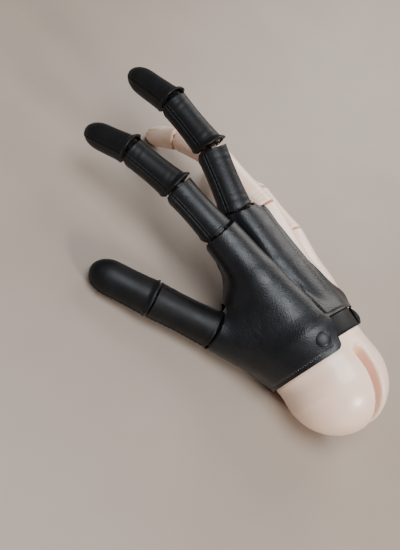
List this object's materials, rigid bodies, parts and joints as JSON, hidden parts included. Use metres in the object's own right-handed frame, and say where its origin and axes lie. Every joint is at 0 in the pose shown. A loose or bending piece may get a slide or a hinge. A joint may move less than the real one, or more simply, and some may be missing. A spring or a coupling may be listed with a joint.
{
  "type": "prosthetic hand",
  "caption": "Jointed right hand of cast phalanges on pinned friction hinges, with leather sleeves on the thumb side, a snapped leather palm cover and a slotted ball wrist.",
  "frame": {"origin": "centre of the wrist ball, on the axis of the tapped wrist insert", "axes": "+Y from the wrist towards the fingers, +Z out of the back of the hand, +X towards the little finger"},
  "size_m": [0.1187, 0.2115, 0.0598],
  "materials": {
    "resin": "flesh-coloured cast resin, satin",
    "leather": "black grained leather, semi-gloss",
    "pin_steel": "ground pin",
    "washer": "thin friction washer",
    "snap_enamel": "black enamelled snap cap",
    "brass": "plain"
  },
  "bodies": {
    "palm": {"palm": "resin", "palm_cover": "leather", "wrist_insert": "brass", "wrist_strap": "leather", "strap_tab": "leather", "cuff_snap_cap": "snap_enamel", "strap_snap_cap": "snap_enamel", "cuff_snap_stud": "brass", "strap_snap_stud": "brass", "index_knuckle_pin": "pin_steel", "middle_knuckle_pin": "pin_steel", "ring_knuckle_pin": "pin_steel", "little_knuckle_pin": "pin_steel", "thumb_knuckle_pin": "pin_steel", "knuckle_washers": "washer"},
    "index_proximal_body": {"index_proximal": "resin", "index_proximal_sleeve": "leather", "index_mid_pin": "pin_steel", "index_mid_washers": "washer"},
    "index_middle_body": {"index_middle": "resin", "index_middle_sleeve": "leather", "index_tip_pin": "pin_steel", "index_tip_washers": "washer"},
    "index_distal_body": {"index_distal": "resin", "index_distal_sleeve": "leather"},
    "middle_proximal_body": {"middle_proximal": "resin", "middle_proximal_sleeve": "leather", "middle_mid_pin": "pin_steel", "middle_mid_washers": "washer"},
    "middle_middle_body": {"middle_middle": "resin", "middle_middle_sleeve": "leather", "middle_tip_pin": "pin_steel", "middle_tip_washers": "washer"},
    "middle_distal_body": {"middle_distal": "resin", "middle_distal_sleeve": "leather"},
    "ring_proximal_body": {"ring_proximal": "resin", "ring_mid_pin": "pin_steel", "ring_mid_washers": "washer"},
    "ring_middle_body": {"ring_middle": "resin", "ring_tip_pin": "pin_steel", "ring_tip_washers": "washer"},
    "ring_distal_body": {"ring_distal": "resin"},
    "little_proximal_body": {"little_proximal": "resin", "little_mid_pin": "pin_steel", "little_mid_washers": "washer"},
    "little_middle_body": {"little_middle": "resin", "little_tip_pin": "pin_steel", "little_tip_washers": "washer"},
    "little_distal_body": {"little_distal": "resin"},
    "thumb_proximal_body": {"thumb_proximal": "resin", "thumb_proximal_sleeve": "leather", "thumb_tip_pin": "pin_steel", "thumb_tip_washers": "washer"},
    "thumb_distal_body": {"thumb_distal": "resin", "thumb_distal_sleeve": "leather"}
  },
  "joints": [
    {"name": "index_knuckle", "type": "hinge", "parent": "palm", "child": "index_proximal_body", "pos_m": [-0.02205, 0.08866, 0.01085], "axis": [0.9511, 0.309, 0], "range_deg": [-60, 4]},
    {"name": "index_mid", "type": "hinge", "parent": "index_proximal_body", "child": "index_middle_body", "pos_m": [-0.03096, 0.11609, 0.01396], "axis": [0.9511, 0.309, 0], "range_deg": [-58, 12]},
    {"name": "index_tip", "type": "hinge", "parent": "index_middle_body", "child": "index_distal_body", "pos_m": [-0.03957, 0.14258, 0.01115], "axis": [0.9511, 0.309, 0], "range_deg": [-40, 17]},
    {"name": "middle_knuckle", "type": "hinge", "parent": "palm", "child": "middle_proximal_body", "pos_m": [-0.00408, 0.09712, 0.01246], "axis": [0.9925, 0.1219, 0], "range_deg": [-74, 4]},
    {"name": "middle_mid", "type": "hinge", "parent": "middle_proximal_body", "child": "middle_middle_body", "pos_m": [-0.00769, 0.12654, 0.02452], "axis": [0.9925, 0.1219, 0], "range_deg": [-50, 22]},
    {"name": "middle_tip", "type": "hinge", "parent": "middle_middle_body", "child": "middle_distal_body", "pos_m": [-0.01134, 0.15631, 0.02462], "axis": [0.9925, 0.1219, 0], "range_deg": [-41, 17]},
    {"name": "ring_knuckle", "type": "hinge", "parent": "palm", "child": "ring_proximal_body", "pos_m": [0.01451, 0.09182, 0.01045], "axis": [0.9986, 0.0523, 0], "range_deg": [-50, 4]},
    {"name": "ring_mid", "type": "hinge", "parent": "ring_proximal_body", "child": "ring_middle_body", "pos_m": [0.01253, 0.12954, 0.00627], "axis": [0.9986, 0.0523, 0], "range_deg": [-45, 22]},
    {"name": "ring_tip", "type": "hinge", "parent": "ring_middle_body", "child": "ring_distal_body", "pos_m": [0.01125, 0.15405, -0.0072], "axis": [0.9986, 0.0523, 0], "range_deg": [-40, 15]},
    {"name": "little_knuckle", "type": "hinge", "parent": "palm", "child": "little_proximal_body", "pos_m": [0.02997, 0.07575, 0.00262], "axis": [0.9945, -0.1045, 0], "range_deg": [-45, 4]},
    {"name": "little_mid", "type": "hinge", "parent": "little_proximal_body", "child": "little_middle_body", "pos_m": [0.03317, 0.10612, -0.00275], "axis": [0.9945, -0.1045, 0], "range_deg": [-50, 16]},
    {"name": "little_tip", "type": "hinge", "parent": "little_middle_body", "child": "little_distal_body", "pos_m": [0.03514, 0.12486, -0.01201], "axis": [0.9945, -0.1045, 0], "range_deg": [-40, 14]},
    {"name": "thumb_knuckle", "type": "hinge", "parent": "palm", "child": "thumb_proximal_body", "pos_m": [-0.03509, 0.0526, -0.01456], "axis": [-0.6385, -0.5138, -0.573], "range_deg": [-4, 30]},
    {"name": "thumb_tip", "type": "hinge", "parent": "thumb_proximal_body", "child": "thumb_distal_body", "pos_m": [-0.05498, 0.0789, -0.01597], "axis": [-0.6385, -0.5138, -0.573], "range_deg": [-6, 45]}
  ]
}
